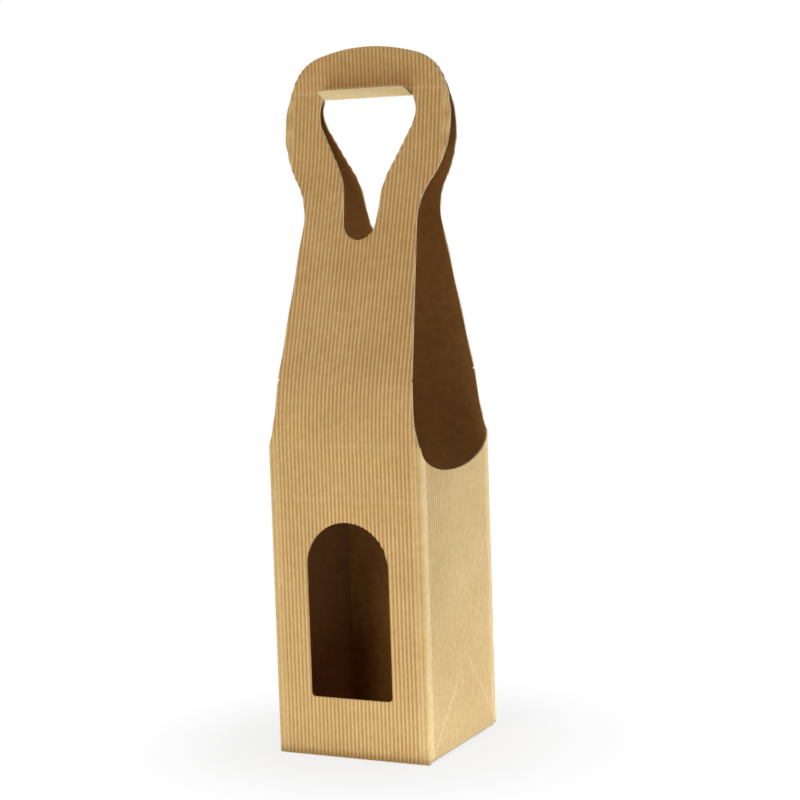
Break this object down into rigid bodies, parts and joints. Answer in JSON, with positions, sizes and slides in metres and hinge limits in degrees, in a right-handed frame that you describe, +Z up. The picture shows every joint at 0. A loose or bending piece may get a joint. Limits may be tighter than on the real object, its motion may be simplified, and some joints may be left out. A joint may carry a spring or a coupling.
{
  "type": "single-bottle cardboard carrier bag",
  "caption": "Tall square carrier bag folded from open-fluted kraft board, with an arched window and two leaning panels that join in a carry handle.",
  "frame": {"origin": "Middle of the square footprint, on the plane the bag stands on.", "axes": "+Z runs up to the handle bar. The windowed front faces -Y and +X is to the right of someone facing the front."},
  "size_m": [0.1002, 0.0924, 0.385],
  "materials": {
    "kraft_board": "open-fluted natural kraft board, matt"
  },
  "bodies": {
    "root": {"bag": "kraft_board"}
  },
  "joints": []
}
